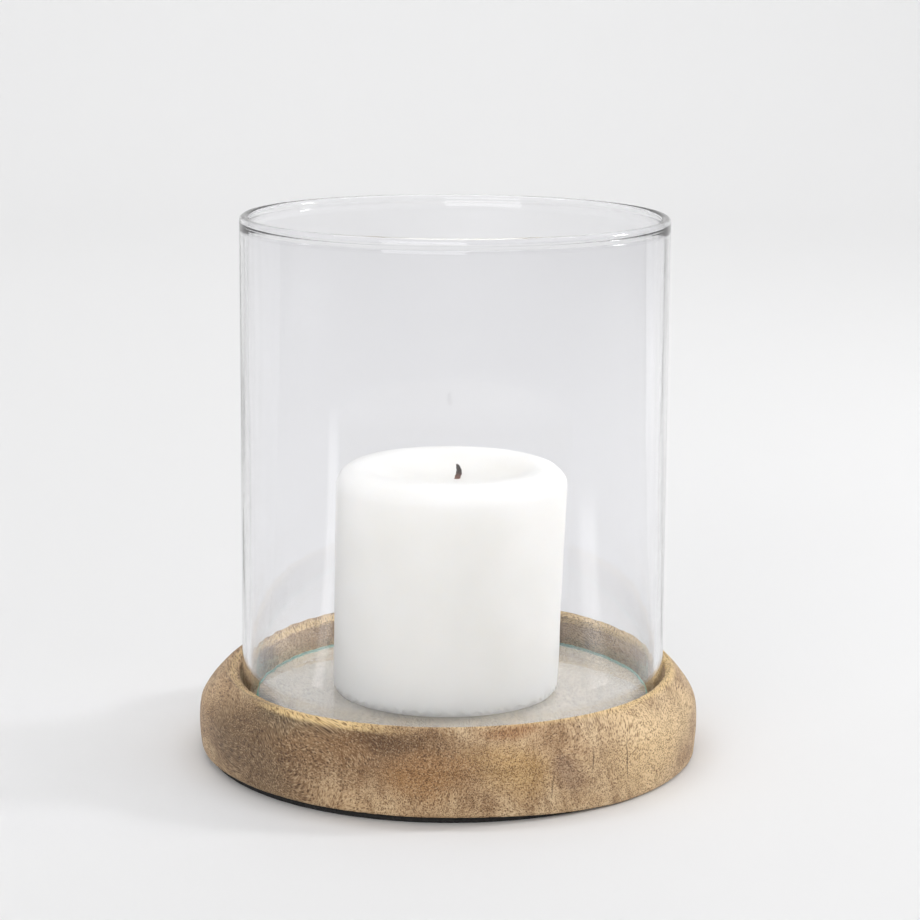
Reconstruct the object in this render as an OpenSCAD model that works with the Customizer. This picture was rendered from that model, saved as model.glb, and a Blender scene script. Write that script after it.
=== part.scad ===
// Hurricane candle lantern: a clear glass tube open at both ends stands in the recess of a
// turned wooden dish, round a loose glass plate that carries a pillar candle. Millimetres,
// +Z up, origin on the table at the middle of the base's underside.

/* [Overall] */
// Height from the table to the top of the glass tube
total_h = 178; // [140:1:300]
// Outer diameter of the glass tube, which sets the sizes of the recess, plate and base
tube_d = 140; // [110:1:220]

/* [Wooden base] */
// Width of the wooden rim round the recess
rim_w = 12.1; // [9:0.1:25]
// Height of the rim's crest above the table, felt pad included
rim_z = 28.6; // [26:0.1:45]
// Depth of the recess below the crest
recess_depth = 12.8; // [8:0.1:16]
// Gap between the tube and the wall of the recess, each side
recess_gap = 0.9; // [0.4:0.1:2]
// How far the hand-turned recess sits off the middle of the base, towards +X
recess_shift = 1.4; // [0:0.1:2]
// Thickness of the felt pad under the base
pad_t = 2.2; // [1:0.1:4]

/* [Glass] */
// Wall thickness of the tube
tube_wall = 2.5; // [2:0.1:4]
// Thickness of the glass plate
plate_t = 4.4; // [3:0.1:6]
// Gap between the plate and the inside of the tube, each side
plate_gap = 2; // [0.6:0.1:4]

/* [Candle] */
// Diameter of the candle at its shoulder
candle_d = 76.2; // [50:0.2:92]
// Height of the candle
candle_h = 75; // [40:0.5:110]
// How much narrower the candle is at its foot than at its shoulder
candle_taper = 1.4; // [0:0.1:3]
// Radius of the rounded shoulder
shoulder_r = 6.5; // [2:0.5:8]
// Depth of the shallow pool round the wick
pool_depth = 4.5; // [1:0.1:6]
// Length of wick that stands out of the wax
wick_free = 5; // [3:0.5:12]
// How far the wick sits off the middle of the candle, towards +X
wick_shift = 2.5; // [0:0.1:4]

/* [Hidden] */

$fn = 120;
eps = 0.01;

// Base: radii of its outer side, recess and pad
recess_r = tube_d / 2 + recess_gap;
base_r = recess_r + rim_w;
pad_r = base_r - 3.2;
floor_z = rim_z - recess_depth;
side_bulge = 0.6;
side_r = base_r - side_bulge;
foot_r = 1.5;
foot_z = pad_t + foot_r;
shoulder_z = rim_z - 10.9;
crest_r = recess_r + 3.3;
lip_r = 1;
mouth_drop = 0.7;
slope_power = 1.7;

// Glass: tube and plate stand on the floor of the recess
tube_r = tube_d / 2;
bead_r = tube_wall / 2 + 0.3;
bore_r = tube_r - tube_wall;
tube_foot_r = tube_wall / 2;
neck_angle = 360 - acos((bead_r - tube_wall) / bead_r);
plate_r = bore_r - plate_gap;
plate_z = floor_z + plate_t;
arris = 0.4;

// Candle: it stands on the plate, and its wick runs up from a pressed tin tab
candle_r = candle_d / 2;
candle_foot_r = candle_r - candle_taper / 2;
candle_foot_edge = 1;
pool_r = candle_r - shoulder_r - 3.5;
wick_r = 1.2;
wick_tip_r = 1;
wick_fit = 0.05;
wick_lean = 5;
wick_bend = 2;
wick_overlap = 0.5;
pool_z = plate_z + candle_h - pool_depth;
tab_r = 11;
tab_t = 0.4;
tab_lift = 0.2;
collar_r = 2;
collar_h = 6;
tab_fit = 0.1;

// Points along an arc about [cx, cy], from angle a0 to a1
function arc(cx, cy, r, a0, a1, steps = 10) =
    [for (i = [0:steps])
        let (a = a0 + (a1 - a0) * i / steps)
        [cx + r * cos(a), cy + r * sin(a)]];

// Slightly bulged outer side of the base, from its foot to its shoulder
function side_points(steps = 8) =
    [for (i = [1:steps])
        let (t = i / steps)
        [side_r + side_bulge * (1 - pow(2 * t - 1, 2)), foot_z + (shoulder_z - foot_z) * t]];

// Rounded shoulder of the base, from its side up to the crest
function shoulder_points(steps = 14) =
    [for (i = [1:steps])
        let (a = 90 * i / steps)
        [crest_r + (side_r - crest_r) * pow(cos(a), slope_power),
         shoulder_z + (rim_z - shoulder_z) * pow(sin(a), slope_power)]];

// Places a piece on the axis of the recess
module in_recess() {
    translate([recess_shift, 0, 0])
        children();
}

// Solid turned blank with a bulged side and a rounded shoulder
module base_blank() {
    rotate_extrude()
        polygon(concat(
            [[0, pad_t]],
            arc(side_r - foot_r, foot_z, foot_r, -90, 0, 6),
            side_points(),
            shoulder_points(),
            [[0, rim_z]]));
}

// Round recess with a rounded lip, and above it a mouth that slopes out to the crest
module recess() {
    lip_z = rim_z - mouth_drop - lip_r;
    rotate_extrude()
        polygon(concat(
            [[0, floor_z], [recess_r, floor_z]],
            arc(recess_r + lip_r, lip_z, lip_r, 180, 90, 6),
            [[crest_r, rim_z], [crest_r, rim_z + 1], [0, rim_z + 1]]));
}

module wooden_base() {
    color("burlywood")
        difference() {
            base_blank();
            in_recess()
                recess();
        }
}

module felt_pad() {
    color("dimgray")
        cylinder(r = pad_r, h = pad_t);
}

// Disc with its sharp edges taken off
module glass_plate() {
    color("paleturquoise", 0.5)
        in_recess()
            translate([0, 0, floor_z])
                rotate_extrude()
                    polygon([
                        [0, 0],
                        [plate_r - arris, 0],
                        [plate_r, arris],
                        [plate_r, plate_t - arris],
                        [plate_r - arris, plate_t],
                        [0, plate_t]]);
}

// Tube wall with a rounded foot and a fire-polished bead at the rim
module glass_cylinder() {
    color("azure", 0.35)
        in_recess()
            rotate_extrude()
                polygon(concat(
                    arc(tube_r - tube_foot_r, floor_z + tube_foot_r, tube_foot_r, 180, 360, 10),
                    arc(tube_r - bead_r, total_h - bead_r, bead_r, 0, neck_angle, 16)));
}

// Places a piece on the axis of the wick
module at_wick() {
    translate([wick_shift, 0, 0])
        children();
}

// Tapered pillar with a rounded shoulder and a shallow pool
module candle_body() {
    top_z = plate_z + candle_h;
    rotate_extrude()
        polygon(concat(
            [[0, plate_z],
             [candle_foot_r - candle_foot_edge, plate_z],
             [candle_foot_r, plate_z + candle_foot_edge]],
            arc(candle_r - shoulder_r, top_z - shoulder_r, shoulder_r, 0, 90, 10),
            [for (i = [0:8])
                let (t = i / 8)
                [pool_r * (1 - t), top_z - pool_depth * (1 - pow(1 - t, 3))]]));
}

module candle_wax() {
    color("ivory")
        difference() {
            candle_body();
            at_wick()
                wick_hole();
        }
}

// Hole through the candle for the wick, its collar and its tab
module wick_hole() {
    translate([0, 0, plate_z])
        cylinder(r = wick_r + wick_fit, h = candle_h, $fn = 32);
    translate([0, 0, plate_z - eps])
        cylinder(r = tab_r + tab_fit, h = tab_lift + tab_t + tab_fit + eps);
    translate([0, 0, plate_z])
        cylinder(r = collar_r + tab_fit, h = tab_lift + collar_h + tab_fit, $fn = 48);
}

// Braided wick, straight inside the wax and leaning above it
module candle_wick() {
    bottom_z = plate_z + tab_lift;
    bend_z = pool_z + wick_bend;
    color("saddlebrown")
        at_wick() {
            translate([0, 0, bottom_z])
                cylinder(r = wick_r, h = bend_z - bottom_z, $fn = 32);
            translate([0, 0, bend_z - wick_overlap])
                rotate([0, wick_lean, 0])
                    cylinder(r = wick_tip_r, h = wick_free - wick_bend + wick_overlap, $fn = 32);
        }
}

// Pressed tin disc with a collar crimped round the wick
module wick_tab() {
    color("silver")
        at_wick()
            translate([0, 0, plate_z + tab_lift])
                difference() {
                    union() {
                        cylinder(r = tab_r, h = tab_t);
                        cylinder(r = collar_r, h = collar_h, $fn = 48);
                    }
                    translate([0, 0, -1])
                        cylinder(r = wick_r + wick_fit, h = collar_h + 2, $fn = 32);
                }
}

wooden_base();
felt_pad();
glass_plate();
glass_cylinder();
candle_wax();
candle_wick();
wick_tab();
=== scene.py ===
import math

import bpy
from mathutils import Matrix, Vector, noise


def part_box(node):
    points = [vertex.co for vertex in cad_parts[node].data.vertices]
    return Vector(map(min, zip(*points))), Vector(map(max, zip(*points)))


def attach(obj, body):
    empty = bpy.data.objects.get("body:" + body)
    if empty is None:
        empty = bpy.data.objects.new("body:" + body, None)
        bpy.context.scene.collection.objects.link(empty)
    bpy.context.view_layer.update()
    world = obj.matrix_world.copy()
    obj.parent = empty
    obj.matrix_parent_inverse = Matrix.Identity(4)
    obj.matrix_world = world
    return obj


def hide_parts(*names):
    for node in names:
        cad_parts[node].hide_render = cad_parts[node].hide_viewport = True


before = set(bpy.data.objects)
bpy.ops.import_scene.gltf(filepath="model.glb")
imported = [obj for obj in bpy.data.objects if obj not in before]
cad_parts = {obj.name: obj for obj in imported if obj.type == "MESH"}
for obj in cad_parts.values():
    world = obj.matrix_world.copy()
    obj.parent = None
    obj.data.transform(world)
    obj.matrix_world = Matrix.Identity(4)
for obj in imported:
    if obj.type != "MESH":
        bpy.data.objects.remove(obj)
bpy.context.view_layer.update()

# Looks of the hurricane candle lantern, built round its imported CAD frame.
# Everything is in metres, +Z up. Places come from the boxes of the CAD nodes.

MM = 0.001
# air left under a piece that stands on another, so that light finds its way between them
CONTACT = 0.08 * MM
# sizes that the boxes of the nodes don't tell
TUBE_WALL = 2.5 * MM
RECESS_GAP = 0.9 * MM
LIP_R = 1 * MM
PLATE_ARRIS = 0.4 * MM
POOL_DEPTH = 4.5 * MM
WICK_R = 1.2 * MM
BOX = {name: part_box(name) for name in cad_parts}


def middle(node):
    """The point of the table below the middle of a node's box."""
    low, high = BOX[node]
    return ((low[0] + high[0]) / 2, (low[1] + high[1]) / 2)


def half_width(node):
    """Half the size of a node's box along X, which is the radius of a round node."""
    low, high = BOX[node]
    return (high[0] - low[0]) / 2


def floor_of(node):
    """Height of the lowest point of a node."""
    return BOX[node][0][2]


def top_of(node):
    """Height of the highest point of a node."""
    return BOX[node][1][2]


# ---------------------------------------------------------------- meshes

def arc(centre, radius, start, end, steps):
    """Points of (radius, height) along an arc between two angles in degrees."""
    points = []
    for i in range(steps + 1):
        a = math.radians(start + (end - start) * i / steps)
        points.append((centre[0] + radius * math.cos(a), centre[1] + radius * math.sin(a)))
    return points


def line(start, end, steps):
    """Evenly spaced points of (radius, height) after start, up to end."""
    return [
        (
            start[0] + (end[0] - start[0]) * i / steps,
            start[1] + (end[1] - start[1]) * i / steps,
        )
        for i in range(1, steps + 1)
    ]


def smooth(t):
    """0 below 0, 1 above 1, and smooth between."""
    t = min(max(t, 0), 1)
    return t * t * (3 - 2 * t)


def revolve(name, outline, segments, centre, shape=None, loop=False):
    """Turns an outline of (radius, height) points about the vertical through centre.

    shape(angle, step, radius, height) may move each point, and returns a radius and a
    height. A loop is a closed outline, as of a tube. Any other outline starts and ends on
    the axis, and its two ends become single points."""
    rings = outline if loop else outline[1:-1]
    verts, faces = [], []
    for step, (radius, height) in enumerate(rings):
        for s in range(segments):
            angle = 2 * math.pi * s / segments
            r, z = shape(angle, step, radius, height) if shape else (radius, height)
            verts.append((centre[0] + r * math.cos(angle), centre[1] + r * math.sin(angle), z))
    count = len(rings)
    for step in range(count if loop else count - 1):
        here, ahead = step * segments, (step + 1) % count * segments
        for s in range(segments):
            after = (s + 1) % segments
            faces.append((here + s, here + after, ahead + after, ahead + s))
    if not loop:
        first, last = len(verts), len(verts) + 1
        verts += [(*centre, outline[0][1]), (*centre, outline[-1][1])]
        end = (count - 1) * segments
        for s in range(segments):
            after = (s + 1) % segments
            faces.append((first, after, s))
            faces.append((last, end + s, end + after))
    return make_piece(name, verts, faces)


def make_piece(name, verts, faces, sharp=50):
    """A smooth-shaded object whose edges stay sharp past an angle in degrees."""
    mesh = bpy.data.meshes.new(name)
    mesh.from_pydata(verts, [], faces)
    mesh.validate()
    mesh.polygons.foreach_set("use_smooth", [True] * len(mesh.polygons))
    mesh.set_sharp_from_angle(angle=math.radians(sharp))
    piece = bpy.data.objects.new(name, mesh)
    bpy.context.collection.objects.link(piece)
    return piece


def stand_in(piece, node, body, slot, *materials):
    """Makes a piece take a CAD node's place on its body, with its finish."""
    for material in materials:
        piece.data.materials.append(material)
    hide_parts(node)
    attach(piece, body)


# ---------------------------------------------------------------- material helpers

def new_material(name):
    """A material, its node tree and its Principled shader."""
    material = bpy.data.materials.new(name)
    material.use_nodes = True
    tree = material.node_tree
    return material, tree, tree.nodes["Principled BSDF"]


def feed(tree, socket, value):
    """Links a socket to another one, or sets it to a plain value."""
    if isinstance(value, bpy.types.NodeSocket):
        tree.links.new(value, socket)
    elif socket.type == "RGBA" and len(value) == 3:
        socket.default_value = (*value, 1)
    else:
        socket.default_value = value


def add(tree, kind, **values):
    """Adds a node and sets its sockets, or its own settings, by name."""
    node = tree.nodes.new("ShaderNode" + kind)
    for key, value in values.items():
        socket = node.inputs.get(key.replace("_", " "))
        if socket is None:
            setattr(node, key, value)
        else:
            feed(tree, socket, value)
    return node


def ramp(tree, value, *stops):
    """A colour ramp over value with stops of (place, colour)."""
    node = add(tree, "ValToRGB")
    tree.links.new(value, node.inputs["Fac"])
    elements = node.color_ramp.elements
    while len(elements) < len(stops):
        elements.new(0.5)
    for element, (place, colour) in zip(elements, stops):
        element.position = place
        element.color = (*colour, 1)
    return node.outputs["Color"]


def fade(tree, value, off, full):
    """0 where value is at off, 1 where it is at full, and smooth between."""
    node = add(tree, "MapRange", interpolation_type="SMOOTHSTEP")
    tree.links.new(value, node.inputs["Value"])
    node.inputs["From Min"].default_value = off
    node.inputs["From Max"].default_value = full
    return node.outputs["Result"]


def maths(tree, operation, a, b=0.0, c=0.0):
    """Result of a Math node on up to three values."""
    node = add(tree, "Math", operation=operation)
    for socket, value in zip(node.inputs, (a, b, c)):
        feed(tree, socket, value)
    return node.outputs[0]


def vector_maths(tree, operation, a, b=None):
    """The VectorMath node that works on a vector and another one, if given."""
    node = add(tree, "VectorMath", operation=operation)
    feed(tree, node.inputs[0], a)
    if b is not None:
        feed(tree, node.inputs[1], b)
    return node


def mapped(tree, place, **settings):
    """A place that has been scaled or turned by a Mapping node."""
    node = add(tree, "Mapping", **settings)
    tree.links.new(place, node.inputs["Vector"])
    return node.outputs[0]


def noise_at(tree, place, scale, **settings):
    """The noise texture node sampled at a place."""
    node = add(tree, "TexNoise", Scale=scale, **settings)
    tree.links.new(place, node.inputs["Vector"])
    return node


def object_place(tree):
    """The shaded point in the object's own metres."""
    return add(tree, "TexCoord").outputs["Object"]


def blend_colours(tree, factor, a, b, mode="MIX"):
    """Mixes colour b over colour a."""
    node = add(tree, "Mix", data_type="RGBA", blend_type=mode)
    for socket, value in ((node.inputs[0], factor), (node.inputs[6], a), (node.inputs[7], b)):
        feed(tree, socket, value)
    return node.outputs[2]


def bump(tree, height, distance, strength=1.0):
    """A normal that follows a height, which stands for so many metres at 1."""
    return add(tree, "Bump", Strength=strength, Distance=distance, Height=height).outputs["Normal"]


def srgb(r, g, b):
    """Linear colour of an 8-bit sRGB one."""
    return tuple(
        c / 12.92 if c <= 0.04045 else ((c + 0.055) / 1.055) ** 2.4
        for c in (r / 255, g / 255, b / 255)
    )


# ---------------------------------------------------------------- materials

def patch(tree, place, centre, size):
    """1 in the middle of an ellipsoid given in millimetres, fading to 0 at its surface."""
    centred = vector_maths(tree, "SUBTRACT", place, [c * MM for c in centre]).outputs[0]
    scaled = vector_maths(tree, "DIVIDE", centred, [c * MM for c in size]).outputs[0]
    return fade(tree, vector_maths(tree, "LENGTH", scaled).outputs["Value"], 1.0, 0.25)


def stain_and_painted_light_patch(tree, colour, place, centre, size, tint, strength):
    """Lays a tint over a colour inside an ellipsoid: a stain, and in places painted light or
    shade.
    """
    factor = maths(tree, "MULTIPLY", patch(tree, place, centre, size), strength)
    return blend_colours(tree, factor, colour, tint)


def crack(tree, colour, place, x, lean, low_z, high_z):
    """Darkens a thin line up the front of the base, from low_z to high_z in millimetres.

    It starts at x millimetres from the middle and leans sideways by lean times its height."""
    spot = add(tree, "SeparateXYZ", Vector=place)
    wander = noise_at(tree, place, 300.0, Detail=2.0)
    line_x = maths(tree, "MULTIPLY_ADD", spot.outputs["Z"], lean, x * MM - lean * low_z * MM)
    line_x = maths(tree, "MULTIPLY_ADD", wander.outputs["Fac"], 0.8 * MM, line_x)
    away = maths(tree, "ABSOLUTE", maths(tree, "SUBTRACT", spot.outputs["X"], line_x))
    inside = fade(tree, away, 0.30 * MM, 0.08 * MM)
    above = fade(tree, spot.outputs["Z"], low_z * MM, (low_z + 4) * MM)
    below = fade(tree, spot.outputs["Z"], high_z * MM, (high_z - 5) * MM)
    at_front = fade(tree, spot.outputs["Y"], -40 * MM, -45 * MM)
    for part in (above, below, at_front):
        inside = maths(tree, "MULTIPLY", inside, part)
    return blend_colours(tree, maths(tree, "MULTIPLY", inside, 0.7), colour, srgb(84, 60, 36))


def wandering_fibres(tree, place):
    """The place bent a little, and the same place drawn out along the fibres."""
    swirl = noise_at(tree, place, 26.0, Detail=2.0)
    off = vector_maths(tree, "SUBTRACT", swirl.outputs["Color"], (0.5, 0.5, 0.5)).outputs[0]
    bend = vector_maths(tree, "MULTIPLY_ADD", off, [22 * MM] * 3)
    tree.links.new(place, bend.inputs[2])
    warp = bend.outputs[0]
    turned = mapped(tree, warp, Rotation=(math.radians(-5), 0, math.radians(-12)))
    return warp, mapped(tree, turned, Scale=(1, 0.14, 1))


def growth_layers(tree, warp, grain):
    """Broad soft bands of tan and brown, then narrow darker ones."""
    layers = noise_at(tree, grain, 55.0, Detail=4.0, Roughness=0.6)
    colour = ramp(
        tree,
        layers.outputs["Fac"],
        (0.30, srgb(158, 126, 92)),
        (0.44, srgb(188, 156, 118)),
        (0.56, srgb(204, 175, 137)),
        (0.70, srgb(216, 190, 153)),
    )
    narrow = mapped(tree, warp, Scale=(1, 0.25, 0.3))
    lines = noise_at(tree, narrow, 330.0, Detail=3.0, Roughness=0.6)
    factor = maths(tree, "MULTIPLY", fade(tree, lines.outputs["Fac"], 0.52, 0.34), 0.65)
    return blend_colours(tree, factor, colour, srgb(148, 114, 78))


def torn_lip(tree, place, grain, radius, height):
    """1 on the pale torn fibres of the recess's lip, which spread out at the front left."""
    crest = top_of("wooden_base")
    high = fade(tree, height, crest - 2.8 * MM, crest - 1.6 * MM)
    lip = maths(tree, "MULTIPLY", high, fade(tree, radius, 75.0 * MM, 73.0 * MM))
    frayed = noise_at(tree, grain, 420.0, Detail=3.0)
    wide = maths(tree, "MULTIPLY_ADD", frayed.outputs["Fac"], 7 * MM, radius)
    wide = maths(tree, "MULTIPLY", high, fade(tree, wide, 82.5 * MM, 79.5 * MM))
    wide = maths(tree, "MULTIPLY", wide, patch(tree, place, (-42, -62, 28), (40, 30, 12)))
    return maths(tree, "MAXIMUM", lip, maths(tree, "MULTIPLY", wide, 1.2))


def wood_material():
    """Bare mango wood: pores run along the fibres, over soft bands of tan and brown."""
    material, tree, shader = new_material("mango_wood")
    place = object_place(tree)
    warp, grain = wandering_fibres(tree, place)
    colour = growth_layers(tree, warp, grain)

    # stains and figure, with broad painted shade at the front left and painted light at the right:
    # centre and size in millimetres, tint, strength
    stains_and_painted_light = [
        # broad darker patch at the front left: partly the wood's own darker colour, partly painted
        # shade on the side away from the key lamp
        ((-62, -52, 14), (46, 42, 26), srgb(116, 92, 66), 0.90),
        ((-25, -78, 20), (46, 30, 16), srgb(128, 92, 54), 0.85),
        ((-22, -76, 23), (28, 14, 5.5), srgb(96, 66, 36), 0.75),
        ((-6, -82, 13), (24, 14, 10), srgb(158, 112, 58), 0.75),
        ((-48, -62, 25), (20, 18, 7), srgb(122, 106, 82), 0.80),
        ((28, -74, 28), (26, 10, 3.2), srgb(164, 116, 70), 0.75),
        ((22, -78, 16), (26, 10, 12), srgb(204, 164, 98), 0.50),
        # pale patch on the front right: partly the wood's own paler colour, partly painted light
        # where the key lamp falls
        ((62, -50, 17), (26, 26, 18), srgb(236, 206, 158), 0.75),
        ((39, -72, 14), (7, 9, 9), srgb(140, 112, 92), 0.60),
        # pale patch on the right side: painted light where the key lamp falls
        ((76, -30, 20), (16, 30, 14), srgb(238, 210, 164), 0.60),
        ((80, -22, 14), (5, 8, 7), srgb(160, 126, 96), 0.50),
    ]
    for centre, size, tint, strength in stains_and_painted_light:
        colour = stain_and_painted_light_patch(tree, colour, warp, centre, size, tint, strength)

    # distance from the axis of the recess, and height
    recess = vector_maths(tree, "SUBTRACT", place, (*middle("glass_cylinder"), 0)).outputs[0]
    flat = vector_maths(tree, "MULTIPLY", recess, (1, 1, 0)).outputs[0]
    radius = vector_maths(tree, "LENGTH", flat).outputs["Value"]
    height = add(tree, "SeparateXYZ", Vector=place).outputs["Z"]

    lip = torn_lip(tree, place, grain, radius, height)
    colour = blend_colours(tree, maths(tree, "MULTIPLY", lip, 0.8), colour, srgb(230, 200, 144))

    # unfinished floor of the recess
    floor_z = floor_of("glass_plate")
    bare = fade(tree, height, floor_z + 0.3 * MM, floor_z + 0.1 * MM)
    bare = maths(tree, "MULTIPLY", bare, fade(tree, radius, 71.5 * MM, 70.5 * MM))
    colour = blend_colours(tree, maths(tree, "MULTIPLY", bare, 0.55), colour, srgb(222, 208, 188))

    # fine flecks along the fibres
    flecks = noise_at(tree, grain, 2300.0, Detail=2.0, Roughness=0.6).outputs["Fac"]
    dark = maths(tree, "MULTIPLY", fade(tree, flecks, 0.52, 0.36), 0.70)
    colour = blend_colours(tree, dark, colour, (0.42, 0.32, 0.20), "MULTIPLY")
    pale = maths(tree, "MULTIPLY", fade(tree, flecks, 0.52, 0.68), 0.30)
    colour = blend_colours(tree, pale, colour, srgb(232, 208, 170))

    # open pores, more of them in some places than in others
    pores = add(tree, "TexVoronoi", Scale=1750.0)
    tree.links.new(grain, pores.inputs["Vector"])
    pick = add(tree, "SeparateColor", Color=pores.outputs["Color"])
    open_share = noise_at(tree, place, 45.0, Detail=1.0)
    some = fade(tree, maths(tree, "ADD", pick.outputs[0], open_share.outputs["Fac"]), 0.60, 1.0)
    pits = maths(tree, "MULTIPLY", fade(tree, pores.outputs["Distance"], 0.50, 0.26), some)
    shade = maths(tree, "MULTIPLY", pits, 0.75)
    colour = blend_colours(tree, shade, colour, (0.30, 0.21, 0.13), "MULTIPLY")

    # drying cracks: thin upright lines at the front
    for x, lean, low_z, high_z in [(31.5, 0.10, 6, 17), (44.5, 0.05, 12, 22), (56, -0.04, 8, 22)]:
        colour = crack(tree, colour, place, x, lean, low_z, high_z)
    tree.links.new(colour, shader.inputs["Base Color"])

    tree.links.new(maths(tree, "MULTIPLY_ADD", flecks, 0.30, 0.40), shader.inputs["Roughness"])
    relief = maths(tree, "SUBTRACT", maths(tree, "MULTIPLY", flecks, 0.5), pits)
    tree.links.new(bump(tree, relief, 0.15 * MM, 0.8), shader.inputs["Normal"])
    return material


def felt_material():
    """Black pressed felt."""
    material, tree, shader = new_material("black_felt")
    fuzz = noise_at(tree, object_place(tree), 1500.0, Detail=3.0)
    dark, light = (0.006, 0.006, 0.006), (0.035, 0.034, 0.033)
    colour = ramp(tree, fuzz.outputs["Fac"], (0.3, dark), (0.8, light))
    tree.links.new(colour, shader.inputs["Base Color"])
    shader.inputs["Roughness"].default_value = 0.95
    tree.links.new(bump(tree, fuzz.outputs["Fac"], 0.25 * MM), shader.inputs["Normal"])
    return material


def let_lamps_through(tree, shader, tint):
    """Sends the lamps' light straight through a glass surface, tinted."""
    clear = add(tree, "BsdfTransparent", Color=(*tint, 1))
    either = add(tree, "MixShader")
    tree.links.new(add(tree, "LightPath").outputs["Is Shadow Ray"], either.inputs[0])
    tree.links.new(shader, either.inputs[1])
    tree.links.new(clear.outputs[0], either.inputs[2])
    tree.links.new(either.outputs[0], tree.nodes["Material Output"].inputs["Surface"])


def clear_glass(name, tint, ior):
    """Smooth clear glass that lets the lamps' light through."""
    material, tree, shader = new_material(name)
    shader.inputs["Base Color"].default_value = (*tint, 1)
    shader.inputs["Transmission Weight"].default_value = 1
    shader.inputs["IOR"].default_value = ior
    shader.inputs["Roughness"].default_value = 0
    let_lamps_through(tree, shader.outputs[0], tint)
    return material, tree, shader


def tube_glass():
    """Clear drawn glass with faint upright ripples."""
    material, tree, shader = clear_glass("tube_glass", (0.950, 0.950, 0.961), 1.5)
    drawn = mapped(tree, object_place(tree), Scale=(1, 1, 0.12))
    waves = noise_at(tree, drawn, 60.0, Detail=2.0)
    tree.links.new(bump(tree, waves.outputs["Fac"], 0.25 * MM, 0.5), shader.inputs["Normal"])
    return material


def hazy(tree, shader, haze, amount):
    """Mixes a diffuse haze over a glass shader."""
    mixed = add(tree, "MixShader")
    feed(tree, mixed.inputs[0], amount)
    tree.links.new(shader, mixed.inputs[1])
    tree.links.new(haze, mixed.inputs[2])
    return mixed.outputs[0]


def plate_face_glass():
    """Polished faces of the plate, faintly green, under a thin film of dust."""
    tint = (0.96, 0.985, 0.975)
    material, tree, shader = clear_glass("plate_glass", tint, 1.52)
    wiped = mapped(tree, object_place(tree), Scale=(1, 0.15, 1), Rotation=(0, 0, math.radians(50)))
    film = noise_at(tree, wiped, 140.0, Detail=5.0, Roughness=0.65)
    dust = add(tree, "BsdfDiffuse", Color=(0.93, 0.92, 0.90, 1))
    amount = maths(tree, "MULTIPLY_ADD", fade(tree, film.outputs["Fac"], 0.35, 0.75), 0.12, 0.05)
    let_lamps_through(tree, hazy(tree, shader.outputs[0], dust.outputs[0], amount), tint)
    return material


def plate_edge_glass():
    """Rough cut edge of the plate, where the glass shows turquoise green."""
    material, tree, shader = clear_glass("plate_edge_glass", (0.62, 0.86, 0.80), 1.52)
    grit = noise_at(tree, object_place(tree), 1100.0, Detail=3.0)
    shader.inputs["Roughness"].default_value = 0.3
    green = ramp(
        tree,
        grit.outputs["Fac"],
        (0.35, srgb(60, 140, 128)),
        (0.60, srgb(104, 186, 172)),
        (0.75, srgb(200, 236, 228)),
    )
    chips = add(tree, "BsdfDiffuse", Color=green)
    relief = bump(tree, grit.outputs["Fac"], 0.25 * MM, 0.8)
    tree.links.new(relief, shader.inputs["Normal"])
    tree.links.new(relief, chips.inputs["Normal"])
    mixed = hazy(tree, shader.outputs[0], chips.outputs[0], 0.8)
    let_lamps_through(tree, mixed, (0.7, 0.88, 0.84))
    return material


def wax_material():
    """Satin white wax that light enters a little way."""
    material, tree, shader = new_material("candle_wax")
    place = object_place(tree)
    cloud = noise_at(tree, place, 45.0, Detail=3.0)
    dull, bright = srgb(235, 234, 229), srgb(241, 240, 236)
    colour = ramp(tree, cloud.outputs["Fac"], (0.3, dull), (0.7, bright))
    tree.links.new(colour, shader.inputs["Base Color"])
    shader.inputs["Subsurface Weight"].default_value = 1.0
    shader.inputs["Subsurface Radius"].default_value = (1.0, 0.97, 0.93)
    shader.inputs["Subsurface Scale"].default_value = 20 * MM
    shader.inputs["Specular IOR Level"].default_value = 0.3
    grain = noise_at(tree, place, 420.0, Detail=4.0)
    rough = maths(tree, "MULTIPLY_ADD", grain.outputs["Fac"], 0.2, 0.34)
    tree.links.new(rough, shader.inputs["Roughness"])
    tree.links.new(bump(tree, grain.outputs["Fac"], 0.08 * MM, 0.5), shader.inputs["Normal"])
    return material


def wick_material():
    """Cotton braid, charred black at its tip and waxy brown at its foot."""
    material, tree, shader = new_material("charred_wick")
    place = object_place(tree)
    fuzz = noise_at(tree, place, 2500.0, Detail=2.0)
    height = add(tree, "SeparateXYZ", Vector=place)
    tip = top_of("candle_wick")
    char = fade(tree, height.outputs["Z"], tip - 5 * MM, tip - 2.5 * MM)
    colour = blend_colours(tree, char, srgb(150, 105, 85), srgb(62, 52, 46))
    sooty = maths(tree, "MULTIPLY", fuzz.outputs["Fac"], 0.5)
    colour = blend_colours(tree, sooty, colour, srgb(40, 30, 26))
    tree.links.new(colour, shader.inputs["Base Color"])
    shader.inputs["Roughness"].default_value = 0.85
    tree.links.new(bump(tree, fuzz.outputs["Fac"], 0.2 * MM), shader.inputs["Normal"])
    return material


def tin_material():
    """Pressed tinplate with faint scratches."""
    material, tree, shader = new_material("tinplate")
    scratches = noise_at(tree, object_place(tree), 800.0, Detail=4.0)
    shader.inputs["Base Color"].default_value = (0.72, 0.72, 0.70, 1)
    shader.inputs["Metallic"].default_value = 1
    rough = maths(tree, "MULTIPLY_ADD", scratches.outputs["Fac"], 0.3, 0.2)
    tree.links.new(rough, shader.inputs["Roughness"])
    tree.links.new(bump(tree, scratches.outputs["Fac"], 0.02 * MM, 0.4), shader.inputs["Normal"])
    return material


# ---------------------------------------------------------------- wooden base

def ripple(x, y, z, scale, octaves=3):
    """Smooth noise of about -1 to 1, with features of about scale."""
    return noise.fractal(Vector((x, y, z)) / scale, 0.8, 2.0, octaves)


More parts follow.
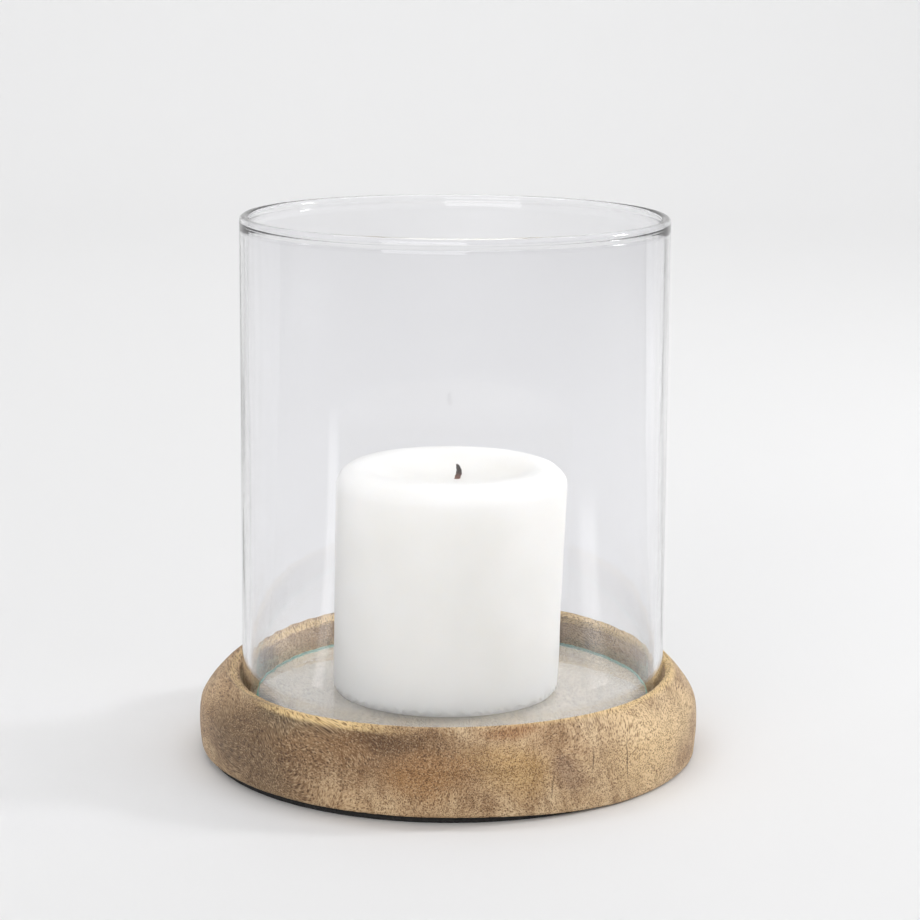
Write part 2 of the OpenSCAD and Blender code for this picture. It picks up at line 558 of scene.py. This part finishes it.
def base_outline(recess_r, lip_z, pad_r, side_z):
    """Outline of the dish, and the steps where its crest and the recess's wall begin."""
    outer_r = half_width("wooden_base")
    foot_z, crest_z = floor_of("wooden_base"), top_of("wooden_base")
    floor_z = floor_of("glass_plate")
    bulge, foot_r, pad_edge = 0.6 * MM, side_z - foot_z, 0.1 * MM
    side_r = outer_r - bulge
    shoulder_z, crest_r, slope_power = crest_z - 10.9 * MM, recess_r + 3.3 * MM, 1.7

    outline = [(0, foot_z)] + line((0, foot_z), (pad_r - pad_edge, foot_z), 12)
    outline += line((pad_r - pad_edge, foot_z), (pad_r, foot_z), 1)
    outline += line((pad_r, foot_z), (side_r - foot_r, foot_z), 6)[:-1]
    outline += arc((side_r - foot_r, side_z), foot_r, -90, 0, 8)
    for i in range(1, 19):
        t = i / 18
        radius = side_r + bulge * (1 - (2 * t - 1) ** 2)
        outline.append((radius, side_z + (shoulder_z - side_z) * t))
    for i in range(1, 31):
        a = math.radians(90 * i / 30)
        outline.append((
            crest_r + (side_r - crest_r) * math.cos(a) ** slope_power,
            shoulder_z + (crest_z - shoulder_z) * math.sin(a) ** slope_power,
        ))
    crest_step = len(outline) - 2
    outline += line((crest_r, crest_z), (recess_r + LIP_R, lip_z + LIP_R), 10)
    outline += arc((recess_r + LIP_R, lip_z), LIP_R, 90, 180, 8)[1:]
    wall_step = len(outline) - 2
    outline += line((recess_r, lip_z), (recess_r, floor_z), 20)
    outline += line((recess_r, floor_z), (0, floor_z), 12)
    return outline, crest_step, wall_step


def build_base():
    """Turned dish with a bulged side, a rounded shoulder and a worn, nicked lip."""
    outer_r = half_width("wooden_base")
    foot_z, crest_z = floor_of("wooden_base"), top_of("wooden_base")
    recess_x = middle("glass_cylinder")[0]
    recess_r = half_width("glass_cylinder") + RECESS_GAP
    pad_r = half_width("felt_pad") + 0.15 * MM
    foot_r, mouth_drop = 1.5 * MM, 0.7 * MM
    side_z, lip_z = foot_z + foot_r, crest_z - mouth_drop - LIP_R
    outline, crest_step, wall_step = base_outline(recess_r, lip_z, pad_r, side_z)
    worn, foot_drop, foot_top = 0.16 * MM, 1.9 * MM, side_z + 4 * MM

    def shape(angle, step, radius, height):
        # rings go round the base's axis outside, round the recess's axis inside, and
        # shift from one to the other between the crest and the wall
        share = min(max((step - crest_step) / (wall_step - crest_step), 0), 1)
        cos, sin = math.cos(angle), math.sin(angle)
        r = math.hypot(radius * cos + recess_x * share, radius * sin)
        x, y = r * cos, r * sin
        if radius < recess_r - LIP_R or (radius < pad_r and height < side_z):
            return r, height
        # the lip lies five rings before the wall, and its wear fades out over nine rings
        on_lip = 1 - min(abs(step - wall_step + 5) / 9, 1)
        on_foot = max(0, 1 - (height - foot_z) / (2.5 * MM)) if step < crest_step else 0
        if height < foot_top and step < crest_step:
            # the foot hides the pad at the right, and stops above it at the left
            turn = math.degrees(math.remainder(angle, 2 * math.pi))
            low_side = smooth((turn + 88) / 45) * smooth((110 - turn) / 45)
            height -= foot_drop * low_side * smooth((foot_top - height) / (5 * MM))
        # the crest is uneven: highest at the back and lowest at the left
        high_up = min(max((height - side_z) / (crest_z - side_z), 0), 1) ** 2
        height += high_up * MM * (0.7 * cos - 0.9 * cos ** 2 + 1.5 * max(0, sin) ** 2)
        wear = worn * ripple(x, y, height, 14 * MM)
        torn = 0.55 * MM * ripple(x, y, height, 1.3 * MM, 2) * on_lip
        chips = 1.1 * MM * max(0, ripple(x, y, 0, 5 * MM, 2) - 0.25) * on_lip
        nicks = 0.5 * MM * max(0, ripple(x, y, 0, 3 * MM, 2) - 0.15) * on_foot
        if step > crest_step:
            return r + abs(wear) + abs(torn) + chips, height - 0.5 * (abs(torn) + chips) * on_lip
        return min(r + wear - worn, outer_r) - nicks, height

    return revolve("turned_base", outline, 768, (0, 0), shape)


# ---------------------------------------------------------------- pad, plate and tube

def build_pad():
    """Felt disc with soft edges."""
    bottom, top = floor_of("felt_pad"), top_of("felt_pad")
    r, round_r = half_width("felt_pad"), 0.6 * MM
    outline = [(0, bottom)] + line((0, bottom), (r - round_r, bottom), 8)[:-1]
    outline += arc((r - round_r, bottom + round_r), round_r, -90, 0, 4)
    outline += arc((r - round_r, top - round_r), round_r, 0, 90, 4)
    outline += line((r - round_r, top), (0, top), 8)
    return revolve("felt_disc", outline, 360, middle("felt_pad"))


def build_plate():
    """Disc of glass whose cut edge is chipped all round."""
    bottom, top = floor_of("glass_plate") + CONTACT, top_of("glass_plate")
    r, arris = half_width("glass_plate"), PLATE_ARRIS
    outline = [(0, bottom)] + line((0, bottom), (r - arris, bottom), 10)
    outline += line((r - arris, bottom), (r, bottom + arris), 2)
    outline += line((r, bottom + arris), (r, top - arris), 10)
    outline += line((r, top - arris), (r - arris, top), 2)
    outline += line((r - arris, top), (r - 2 * arris, top), 1)
    outline += line((r - 2 * arris, top), (0, top), 10)

    def shape(angle, step, radius, height):
        if radius < r - 1.5 * arris:
            return radius, height
        x, y = r * math.cos(angle), r * math.sin(angle)
        chips = 0.25 * MM * abs(ripple(x, y, height, 1.8 * MM, 2))
        bites = 0.9 * MM * max(0, ripple(x, y, height, 4 * MM, 2) - 0.45)
        return radius - chips - bites, height

    piece = revolve("cut_glass_plate", outline, 720, middle("glass_plate"), shape)
    centre = Vector(middle("glass_plate"))
    # the edge and the outermost ring of each face take the second material
    for face in piece.data.polygons:
        face.material_index = int((face.center.xy - centre).length > r - 2.2 * arris)
    return piece


def build_tube():
    """Open tube with a rounded foot, a fire-polished bead and slightly uneven walls."""
    bottom, top = floor_of("glass_cylinder") + CONTACT, top_of("glass_cylinder")
    r, wall = half_width("glass_cylinder"), TUBE_WALL
    foot, bead = wall / 2, wall / 2 + 0.3 * MM
    neck = 360 - math.degrees(math.acos((bead - wall) / bead))
    outline = arc((r - foot, bottom + foot), foot, 180, 360, 12)
    outline += line((r, bottom + foot), (r, top - bead), 60)[:-1]
    outline += arc((r - bead, top - bead), bead, 0, neck, 28)
    outline += line((r - wall, outline[-1][1]), (r - wall, bottom + foot), 60)[:-1]

    def shape(angle, step, radius, height):
        x, y = radius * math.cos(angle), radius * math.sin(angle)
        sway = 0.05 * MM * ripple(x, y, height / 6, 30 * MM, 2)
        return min(radius + sway - 0.03 * MM, r), height

    return revolve("glass_tube", outline, 480, middle("glass_cylinder"), shape, loop=True)


# ---------------------------------------------------------------- candle

def build_wax():
    """Pillar candle with a wavy foot, a soft uneven shoulder and a melted pool."""
    bottom, top = floor_of("candle_wax") + CONTACT, top_of("candle_wax")
    r, taper, shoulder = half_width("candle_wax"), 0.7 * MM, 6.5 * MM
    foot_r, edge, lean = r - taper, 1 * MM, 1.6 * MM
    pool_r = r - shoulder - 3.5 * MM
    outline = [(0, bottom)] + line((0, bottom), (foot_r - edge, bottom), 8)
    outline += line((foot_r - edge, bottom), (foot_r, bottom + edge), 6)
    side_step = len(outline)
    outline += line((foot_r, bottom + edge), (r, top - shoulder), 90)[:-1]
    outline += arc((r - shoulder, top - shoulder), shoulder, 0, 90, 20)
    for i in range(31):
        t = i / 30
        outline.append((pool_r * (1 - t), top - POOL_DEPTH * (1 - (1 - t) ** 3)))

    def shape(angle, step, radius, height):
        x, y = radius * math.cos(angle), radius * math.sin(angle)
        up = (height - bottom) / (top - bottom)
        share = min(radius / r, 1)
        dents = 0.22 * MM * ripple(x, y, height, 13 * MM, 2) * share
        melt = 0.35 * MM * ripple(x, y, 0, 12 * MM, 2) * (1 - abs(2 * share - 1))
        melt *= max(0, up - 0.85) / 0.15
        ragged = smooth((radius - foot_r + edge) / (0.5 * edge))
        ragged *= smooth(1 - (height - bottom) / (4 * MM))
        scallops = 1.0 * MM * abs(math.sin(27 * angle + 2.5 * ripple(x, y, 0, 16 * MM, 1)))
        scallops += 0.35 * MM * ripple(x, y, 0, 2.2 * MM, 2)
        reach = radius + min(0, dents) - 0.4 * max(0, scallops) * ragged
        return reach, height + max(0, scallops) * ragged + (melt if step > side_step else 0)

    piece = revolve("pillar_candle", outline, 480, middle("candle_wax"), shape)
    for vertex in piece.data.vertices:
        vertex.co.x += lean * ((vertex.co.z - bottom) / (top - bottom) - 0.5)
    return piece


def build_wick():
    """Wick of three strands twisted together, bent and thinned at the charred tip."""
    bottom, top = floor_of("candle_wick") + 0.1 * MM, top_of("candle_wick") - 0.1 * MM
    x0, y0 = BOX["candle_wick"][0][0] + WICK_R, middle("candle_wick")[1]
    pool = top_of("candle_wax") - POOL_DEPTH
    free_length = top_of("candle_wick") - pool
    strand_r, ring_r, turns_per_m = 0.55 * MM, 0.52 * MM, 260
    verts, faces, sides, steps = [], [], 12, 220
    for strand in range(3):
        first = len(verts)
        for i in range(steps + 1):
            z = bottom + (top - bottom) * i / steps
            tip = max(0, z - pool) / free_length
            sway = 0.7 * MM * math.sin(math.pi * tip)
            thin = 1 - 0.55 * tip ** 2
            turn = 2 * math.pi * (strand / 3 + turns_per_m * z)
            cx = x0 + sway + ring_r * thin * math.cos(turn)
            cy = y0 + ring_r * thin * math.sin(turn)
            end = math.sin(math.pi / 2 * min(1, i / 3 + 0.15, (steps - i) / 3 + 0.15))
            for k in range(sides):
                a = 2 * math.pi * k / sides
                fuzz = 1 + 0.12 * noise.noise(Vector((cx, cy, z)) / (0.3 * MM) + Vector((k, 0, 0)))
                reach = strand_r * thin * end * fuzz
                verts.append((cx + reach * math.cos(a), cy + reach * math.sin(a), z))
        for i in range(steps):
            here, ahead = first + i * sides, first + (i + 1) * sides
            for k in range(sides):
                after = (k + 1) % sides
                faces.append((here + k, here + after, ahead + after, ahead + k))
        faces.append(tuple(first + k for k in reversed(range(sides))))
        last = first + steps * sides
        faces.append(tuple(last + k for k in range(sides)))
    return make_piece("braided_wick", verts, faces, sharp=80)


# ---------------------------------------------------------------- stage

def build_stage():
    """Pale floor that sweeps up behind the lantern."""
    width, front, back, bend, height = 7.0, -3.0, 1.6, 1.0, 3.0
    profile = [(front, 0), (0, 0)] + [(back * i / 10, 0) for i in range(1, 11)]
    for i in range(1, 25):
        a = math.radians(90 * i / 24)
        profile.append((back + bend * math.sin(a), bend * (1 - math.cos(a))))
    profile.append((back + bend, height))
    verts, faces = [], []
    for y, z in profile:
        verts += [(-width / 2, y, z), (width / 2, y, z)]
    for i in range(len(profile) - 1):
        a = 2 * i
        faces.append((a, a + 1, a + 3, a + 2))
    sweep = make_piece("floor_sweep", verts, faces)
    material, _, shader = new_material("pale_floor")
    shader.inputs["Base Color"].default_value = (0.80, 0.80, 0.80, 1)
    shader.inputs["Roughness"].default_value = 0.9
    shader.inputs["Specular IOR Level"].default_value = 0.2
    sweep.data.materials.append(material)


def light_strip(tree, angle, distance, bearing, width, near, far, glow):
    """Glow of a strip on the table that points away from the lantern.

    Its bearing and width are in degrees. It is at its full glow up to near, and dark
    beyond far."""
    turned = maths(tree, "ABSOLUTE", maths(tree, "SUBTRACT", angle, math.radians(bearing)))
    across = fade(tree, turned, math.radians(width) / 2, math.radians(width) / 8)
    along = fade(tree, distance, far, near)
    return maths(tree, "MULTIPLY", maths(tree, "MULTIPLY", across, along), glow)


def build_reflections():
    """Sheet on the table that only reflections see: a dim room, and two strips of light."""
    verts, faces = [], []
    start, end, sides = -192, 28, 110
    inner, reach, height = 0.17, 4.0, 2 * MM
    for radius in (inner, reach):
        for i in range(sides + 1):
            a = math.radians(start + (end - start) * i / sides)
            verts.append((radius * math.cos(a), radius * math.sin(a), height))
    for i in range(sides):
        faces.append((i, sides + 1 + i, sides + 2 + i, i + 1))
    sheet = make_piece("reflected_room", verts, faces)
    sheet.visible_camera = sheet.visible_diffuse = sheet.visible_shadow = False
    sheet.visible_transmission = sheet.visible_volume_scatter = False
    material, tree, _ = new_material("reflected_room")
    place = object_place(tree)
    distance = vector_maths(tree, "LENGTH", place).outputs["Value"]
    spot = add(tree, "SeparateXYZ", Vector=place)
    # angle from the front, -Y, and positive towards +X
    forward = maths(tree, "MULTIPLY", spot.outputs["Y"], -1.0)
    angle = maths(tree, "ARCTAN2", spot.outputs["X"], forward)
    room = ramp(
        tree,
        maths(tree, "DIVIDE", distance, reach),
        (0.04, (0.85, 0.85, 0.85)),
        (0.11, (0.78, 0.78, 0.78)),
        (0.15, (0.58, 0.58, 0.58)),
        (0.22, (0.20, 0.20, 0.21)),
        (0.35, (0.14, 0.14, 0.15)),
    )
    left = light_strip(tree, angle, distance, bearing=-62, width=9, near=0.55, far=0.80, glow=2.0)
    right = light_strip(tree, angle, distance, bearing=70, width=17, near=0.40, far=0.55, glow=1.7)
    strips = add(tree, "CombineColor")
    for socket in strips.inputs[:3]:
        tree.links.new(maths(tree, "ADD", left, right), socket)
    shine = add(tree, "Emission", Strength=1.0)
    glow = blend_colours(tree, 1.0, room, strips.outputs[0], "ADD")
    tree.links.new(glow, shine.inputs["Color"])
    tree.links.new(shine.outputs[0], tree.nodes["Material Output"].inputs["Surface"])
    sheet.data.materials.append(material)


def add_lamp(name, place, target, size, power):
    """Soft rectangular lamp at a place, facing a target, with its power in watts."""
    data = bpy.data.lights.new(name, "AREA")
    data.shape = "RECTANGLE"
    data.size, data.size_y = size
    data.energy = power
    lamp = bpy.data.objects.new(name, data)
    lamp.location = place
    lamp.rotation_euler = (Vector(target) - Vector(place)).to_track_quat("-Z", "Y").to_euler()
    bpy.context.collection.objects.link(lamp)


def build_lights():
    """Key from the right, a wide fill in front, a lamp on the backdrop, and a dim room."""
    add_lamp("key", (1.15, 0.20, 0.60), (0, 0, 0.03), (0.18, 0.18), 5.4)
    add_lamp("fill", (-0.5, -1.7, 0.8), (0, 0, 0.05), (1.5, 0.9), 12.5)
    add_lamp("backdrop", (0, 0.7, 2.6), (0, 2.4, 0.7), (3.0, 0.8), 34.5)
    world = bpy.data.worlds.new("studio")
    world.use_nodes = True
    tree = world.node_tree
    upward = add(tree, "SeparateXYZ", Vector=add(tree, "TexCoord").outputs["Generated"])
    sky = ramp(
        tree,
        fade(tree, upward.outputs["Z"], -0.25, 0.25),
        (0.0, (0.26, 0.26, 0.27)),
        (1.0, (0.58, 0.58, 0.585)),
    )
    tree.links.new(sky, tree.nodes["Background"].inputs["Color"])
    bpy.context.scene.world = world


def build_camera():
    """Looks from in front and a little above, with a slight roll. Angles in radians."""
    distance, height, aside = 0.8155, 0.2633, 0.0033
    pitch, roll = 0.165, 0.006
    data = bpy.data.cameras.new("camera")
    data.sensor_width = 36
    data.lens = 98.7
    data.shift_y = -0.1
    camera = bpy.data.objects.new("camera", data)
    turn = Matrix.Rotation(math.pi / 2 - pitch, 4, "X") @ Matrix.Rotation(roll, 4, "Z")
    camera.matrix_world = Matrix.Translation((aside, -distance, height)) @ turn
    bpy.context.collection.objects.link(camera)
    bpy.context.scene.camera = camera


def build_pieces():
    """Puts every piece in the place of its CAD node. The tab stays the CAD's own."""
    stand_in(build_base(), "wooden_base", "base", "wood", wood_material())
    stand_in(build_pad(), "felt_pad", "base", "felt", felt_material())
    plate = build_plate()
    stand_in(plate, "glass_plate", "plate", "plate_glass", plate_face_glass(), plate_edge_glass())
    stand_in(build_tube(), "glass_cylinder", "cylinder", "tube_glass", tube_glass())
    stand_in(build_wax(), "candle_wax", "candle", "wax", wax_material())
    stand_in(build_wick(), "candle_wick", "candle", "wick", wick_material())
    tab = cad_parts["wick_tab"]
    tab.data.materials.clear()
    tab.data.materials.append(tin_material())


bpy.context.scene.view_settings.view_transform = "Standard"
build_camera()
build_stage()
build_reflections()
build_lights()
build_pieces()
